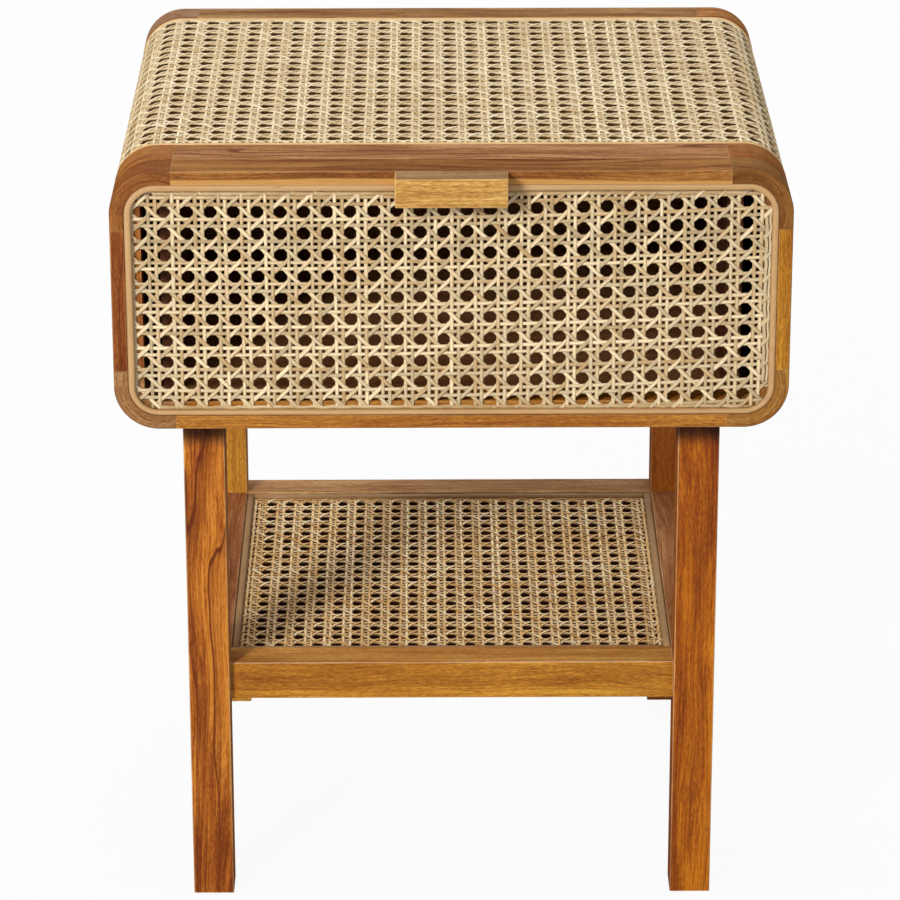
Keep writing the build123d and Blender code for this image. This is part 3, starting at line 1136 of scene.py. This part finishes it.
# %% [markdown]
# ## The splines round the case
#
# A half-round spline is pressed into the groove along the front and the back edge of the wrap.
# It follows the same path as the sheet, so the same place function bends it.

# %% The splines round the case
spline_low, spline_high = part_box("cane_splines")
spline_width = cane_low.y - spline_low.y
spline_rise = spline_high.z - board_high.z
spline_sink = -0.001
spline_steps = 160
half_round = (
    (-0.5, 0.0),
    (0.5, 0.0),
    (0.46, 0.5),
    (0.28, 0.85),
    (0.0, 0.97),
    (-0.28, 0.85),
    (-0.46, 0.5),
)


def spline_ring(y, u):
    ring = []
    for a, b in half_round:
        spot = round_case(u, y - a * spline_width, spline_sink + b * spline_rise)
        ring.append(Vector(spot))
    return ring


splines = Bundle()
spline_run = [wrap_reach * (2 * n / spline_steps - 1) for n in range(spline_steps + 1)]
for y in (spline_low.y + spline_width / 2, spline_high.y - spline_width / 2):
    splines.add([spline_ring(y, u) for u in spline_run], half_round)
splines.make("round_splines", spline_rattan, "case", "rattan", "cane_splines")

# %% [markdown]
# ## The shelf's flat beads
#
# Four flat strips with eased edges hold the shelf's cane down. They lie against the rails, and
# the two that run from side to side are cut to fit between the others.

# %% The shelf's flat beads
strip_width = 0.0055
strip_rise = strip_high.z - strip_low.z
strip_steps = 12
strip_room = 0.0002
flat_round = (
    (-0.5, 0.0),
    (0.5, 0.0),
    (0.5, 0.6),
    (0.42, 0.88),
    (0.26, 1.0),
    (-0.26, 1.0),
    (-0.42, 0.88),
    (-0.5, 0.6),
)
shelf_strips = Bundle()


def flat_strip(start, end):
    start, end = Vector(start), Vector(end)
    step = (end - start).normalized()
    across = Vector((step.y, -step.x, 0))
    rings = []
    for n in range(strip_steps + 1):
        middle = start.lerp(end, n / strip_steps)
        ring = []
        for a, b in flat_round:
            ring.append(middle - across * (a * strip_width) + Vector((0, 0, b * strip_rise)))
        rings.append(ring)
    shelf_strips.add(rings, flat_round)


strip_side = strip_high.x - strip_width / 2
strip_reach = strip_high.x - strip_width - strip_room
for x in (-strip_side, strip_side):
    flat_strip((x, strip_low.y, strip_low.z), (x, strip_high.y, strip_low.z))
for y in (strip_low.y + strip_width / 2, strip_high.y - strip_width / 2):
    flat_strip((-strip_reach, y, strip_low.z), (strip_reach, y, strip_low.z))
shelf_strips.make("flat_beads", shelf_bead_rattan, "case", "rattan", "shelf_beads")

# %% [markdown]
# ## Floor and world
#
# The table stands in a plain white studio. The floor keeps the soft shadow, and where the
# camera looks at it directly it is mostly its own white, so the background stays white without
# more light on the table. The world does the same: white to the camera, and a soft even light
# to everything else. Both are dim in reflections, because oiled teak would otherwise take a
# grey veil where it is seen slantwise. The table shows no polished metal or glass, so no other
# piece misses them.

# %% Floor and world
floor_reach = 7.0
white = (1, 1, 1, 1)
own_white = 0.94
mirror_share, mirror_light = 0.95, 0.04
sky_soft, sky_mirror = 0.32, 0.05
floor_corners = [
    (-floor_reach, -floor_reach, 0),
    (floor_reach, -floor_reach, 0),
    (floor_reach, floor_reach, 0),
    (-floor_reach, floor_reach, 0),
]


def rays(finish):
    """Whether a ray comes from the camera, and whether it is a reflection."""
    kinds = ("Is Camera Ray", "Is Glossy Ray")
    return [finish.node("ShaderNodeLightPath", {}, {}, kind) for kind in kinds]


floor_mesh = bpy.data.meshes.new("floor")
floor_mesh.from_pydata(floor_corners, [], [(0, 1, 2, 3)])
floor = bpy.data.objects.new("floor", floor_mesh)
bpy.context.scene.collection.objects.link(floor)
ground = Finish(bpy.data.materials.new("floor_white"))
seen, mirrored = rays(ground)
matt = ground.node("ShaderNodeBsdfDiffuse", {}, {"Color": colour(200, 200, 200)})
glow = ground.node("ShaderNodeEmission", {}, {"Color": white, "Strength": 1.0})
dim = ground.node("ShaderNodeEmission", {}, {"Color": white, "Strength": mirror_light})
plain = ground.node("ShaderNodeMixShader", {}, {0: mirrored * mirror_share, 1: matt, 2: dim})
shown = ground.node("ShaderNodeMixShader", {}, {0: seen * own_white, 1: plain, 2: glow})
floor_mesh.materials.append(ground.surface(shown))

world = bpy.data.worlds.new("studio")
bpy.context.scene.world = world
sky = Finish(world)
seen, mirrored = rays(sky)
sky_light = sky_soft + seen * (1 - sky_soft) - mirrored * (sky_soft - sky_mirror)
sky.surface(sky.node("ShaderNodeBackground", {}, {"Color": white, "Strength": sky_light}))
print("floor", 2 * floor_reach, "m wide")

# %% [markdown]
# ## Lamps
#
# A small key from the front left draws the slanting shadow over the shelf, and a wide fill from
# the right softens it. The other four only keep the top, the back and the sides from going
# dark, so they are left out of reflections, in which they would show as grey patches on the
# wood.

# %% Lamps
lamp_aim = (0, 0, 0.3)
case_aim = (0, 0, 0.5)


def lamp(name, place, aim, size, power, shine=True):
    data = bpy.data.lights.new(name, "AREA")
    data.shape = "SQUARE"
    data.size = size
    data.energy = power
    made = bpy.data.objects.new(name, data)
    made.location = place
    made.rotation_mode = "QUATERNION"
    made.rotation_quaternion = (Vector(aim) - Vector(place)).to_track_quat("-Z", "Y")
    made.visible_camera = False
    made.visible_glossy = shine
    bpy.context.scene.collection.objects.link(made)
    print(name, "lamp", power, "W")


lamp("key", (-1.41, -2.45, 1.75), lamp_aim, 0.6, 78)
lamp("fill", (1.6, -2.6, 2.0), lamp_aim, 1.6, 10)
lamp("overhead", (0, 0.9, 2.9), case_aim, 1.6, 9, shine=False)
lamp("back", (0, 2.4, 1.8), lamp_aim, 2.0, 40, shine=False)
lamp("left", (-2.4, 0.2, 1.6), lamp_aim, 1.4, 20, shine=False)
lamp("right", (2.4, 0.2, 1.6), lamp_aim, 1.4, 17, shine=False)

# %% [markdown]
# ## Camera
#
# The view is a little above the table and almost straight on, from far away with a long lens.
# The camera's axes are written out from its tilt and turn, so the numbers stay easy to read.

# %% Place the camera
focal_pixels = 4300.66
picture_pixels = 900
sensor = 36.0
camera_place = (-0.01606, -2.88391, 1.37973)
tilt = math.radians(21.0499)
turn = math.radians(0.3181)
roll = math.radians(0.0656)
flat_part = math.cos(tilt)
ahead = Vector((math.sin(turn) * flat_part, math.cos(turn) * flat_part, -math.sin(tilt)))
sideways = Vector((math.cos(turn), -math.sin(turn), 0))
down = ahead.cross(sideways)
camera_right = sideways * math.cos(roll) + down * math.sin(roll)
camera_down = down * math.cos(roll) - sideways * math.sin(roll)
camera_data = bpy.data.cameras.new("camera")
camera_data.sensor_width = sensor
camera_data.lens = focal_pixels / picture_pixels * sensor
camera_data.clip_end = 50
camera = bpy.data.objects.new("camera", camera_data)
camera_turn = Matrix((camera_right, -camera_down, -ahead)).transposed().to_4x4()
camera.matrix_world = Matrix.Translation(camera_place) @ camera_turn
bpy.context.scene.collection.objects.link(camera)
bpy.context.scene.camera = camera
bpy.context.scene.view_settings.view_transform = "Standard"
print("lens", round(camera_data.lens), "mm")
